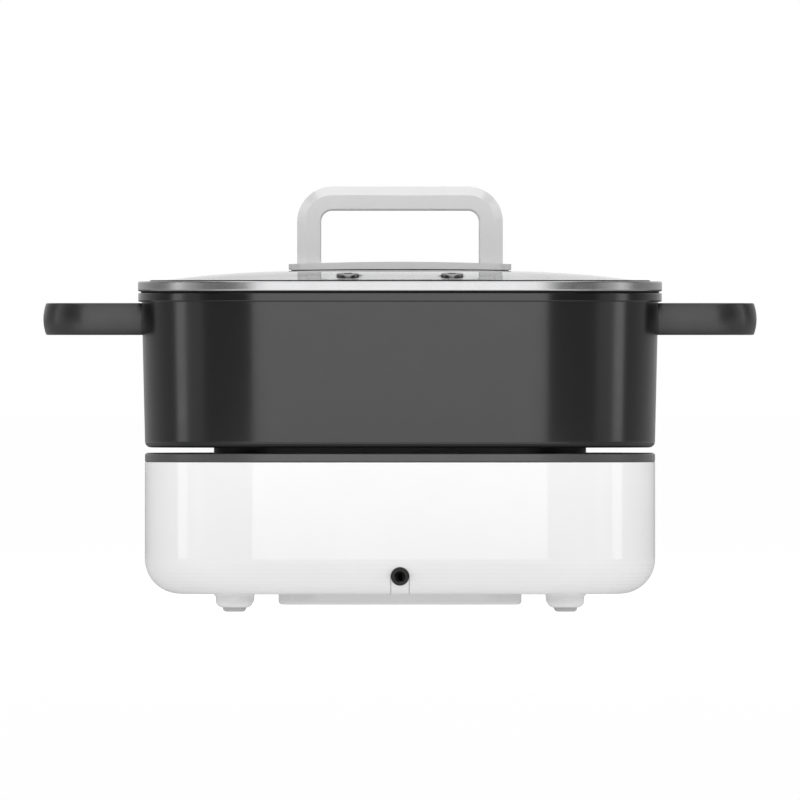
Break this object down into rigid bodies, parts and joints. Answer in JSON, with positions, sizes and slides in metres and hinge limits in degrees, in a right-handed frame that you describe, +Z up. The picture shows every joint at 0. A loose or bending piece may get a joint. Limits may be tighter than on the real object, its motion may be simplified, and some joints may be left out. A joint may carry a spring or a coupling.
{
  "type": "electric hot pot with lid",
  "caption": "Square electric hot pot with round corners: white heating base on feet, black cast pot with side loop handles and a domed glass lid with a loop handle.",
  "frame": {"origin": "on the surface that the feet stand on, midway between them, below the middle of the pot", "axes": "+Z up, +X to the right handle as seen from the cord side, which faces -Y; the control side faces +Y"},
  "size_m": [0.4204, 0.3084, 0.2502],
  "materials": {
    "white_shell": "satin moulded, soft gloss",
    "black_deck": "satin black",
    "black_coated_cast": "cast, satin black coating",
    "black_handle": "satin black phenolic",
    "black_plastic": "matte",
    "grey_grip": "fine matte",
    "lid_steel": "fine brushed round the rim",
    "bright_steel": "bright",
    "screw_steel": "zinc plated",
    "sheet_steel": "rolled sheet",
    "spring_steel": "drawn wire",
    "element_tube": "oxidised tube",
    "plate_alloy": "turned cast face",
    "knob_alloy": "spun face",
    "brass_shaft": "turned",
    "white_print": "matte",
    "ivory_moulding": "matte",
    "foot_rubber": "matte",
    "black_silicone": "matte",
    "lid_glass": "clear tempered",
    "lens_red": "clear red",
    "lamp_glass": "clear",
    "fuse_ceramic": "glazed",
    "brown_sleeve": "soft sleeve",
    "blue_sleeve": "soft sleeve",
    "green_sleeve": "soft sleeve"
  },
  "bodies": {
    "base": {"bottom_cover": "white_shell", "rubber_foot_1": "foot_rubber", "rubber_foot_2": "foot_rubber", "rubber_foot_3": "foot_rubber", "rubber_foot_4": "foot_rubber", "base_shell": "white_shell", "screw_columns": "white_shell", "deck_ears": "white_shell", "dial_cup": "white_shell", "cover_screws": "screw_steel", "deck_plate": "black_deck", "deck_screws": "screw_steel", "heating_plate": "plate_alloy", "heating_element": "element_tube", "heat_reflector": "sheet_steel", "plate_standoffs": "sheet_steel", "plate_screws": "screw_steel", "sensor_holder": "sheet_steel", "sensor_spring": "spring_steel", "thermal_fuse": "fuse_ceramic", "fuse_clip": "sheet_steel", "thermostat_body": "ivory_moulding", "thermostat_screws": "screw_steel", "dial_plate": "black_plastic", "dial_marks": "white_print", "indicator_lens": "lens_red", "indicator_lamp": "lamp_glass", "cord_gland": "black_plastic", "cord_clamp": "ivory_moulding", "clamp_screws": "screw_steel", "terminal_block": "ivory_moulding", "terminal_screws": "screw_steel", "live_lead": "brown_sleeve", "neutral_lead": "blue_sleeve", "switched_lead": "brown_sleeve", "earth_lead": "green_sleeve"},
    "sensor": {"sensor_cap": "bright_steel"},
    "knob": {"thermostat_shaft": "brass_shaft", "control_knob": "black_plastic", "knob_disc": "knob_alloy", "knob_pointer": "white_print"},
    "pot": {"pot_body": "black_coated_cast", "handle_brackets": "black_coated_cast", "left_handle": "black_handle", "right_handle": "black_handle", "handle_screws": "screw_steel"},
    "lid": {"lid_rim": "lid_steel", "rim_gasket": "black_silicone", "lid_seal": "black_silicone", "lid_glass": "lid_glass", "lid_handle": "grey_grip", "handle_gasket": "black_silicone", "lid_screws": "screw_steel", "lid_washers": "black_silicone", "steam_eyelet_1": "bright_steel", "steam_eyelet_2": "bright_steel"}
  },
  "joints": [
    {"name": "pot_lift", "type": "slide", "parent": "base", "child": "pot", "axis": [0, 0, 1], "range_m": [0, 0.15]},
    {"name": "lid_lift", "type": "slide", "parent": "pot", "child": "lid", "axis": [0, 0, 1], "range_m": [0, 0.12]},
    {"name": "knob_turn", "type": "hinge", "parent": "base", "child": "knob", "pos_m": [0, 0.1469, 0.0545], "axis": [0, -1, 0], "range_deg": [0, 270]},
    {"name": "sensor_press", "type": "slide", "parent": "base", "child": "sensor", "axis": [0, 0, 1], "range_m": [-0.003, 0], "stiffness_N_per_m": 500, "springref_m": 0.004, "deforming": ["sensor_spring"]}
  ]
}
